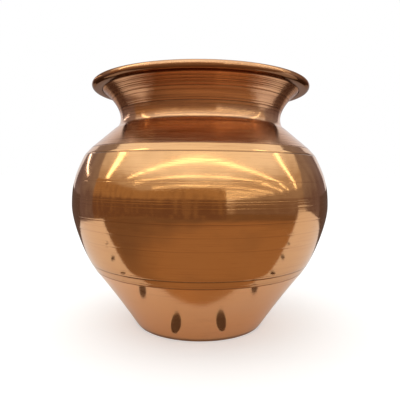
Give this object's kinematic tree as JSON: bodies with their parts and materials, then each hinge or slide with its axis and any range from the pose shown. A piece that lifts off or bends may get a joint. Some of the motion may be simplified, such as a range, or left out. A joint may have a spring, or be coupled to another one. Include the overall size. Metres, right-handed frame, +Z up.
{
  "type": "kalash water pot",
  "caption": "Round-bellied copper kalash pot: flared neck with a wire-rolled lip, narrow waist, sloping shoulder with a turned band, and a conical foot on a flat base",
  "frame": {"origin": "middle of the resting face, on the surface the pot stands on", "axes": "+Z up along the pot's axis; the pot is the same all round, so X and Y are free"},
  "size_m": [0.14, 0.14, 0.132],
  "materials": {
    "wire_copper": "drawn wire, dull",
    "turned_copper": "lathe turned, glossy, with fine rings",
    "polished_copper": "polished",
    "satin_copper": "satin, lightly turned",
    "braze": "as brazed, matt"
  },
  "bodies": {
    "root": {"rim_wire": "wire_copper", "neck_collar": "turned_copper", "shoulder_braze_ring": "braze", "belly_upper_shell": "polished_copper", "belly_braze_ring": "braze", "belly_lower_shell": "polished_copper", "base_braze_ring": "braze", "base_pan": "satin_copper"}
  },
  "joints": []
}
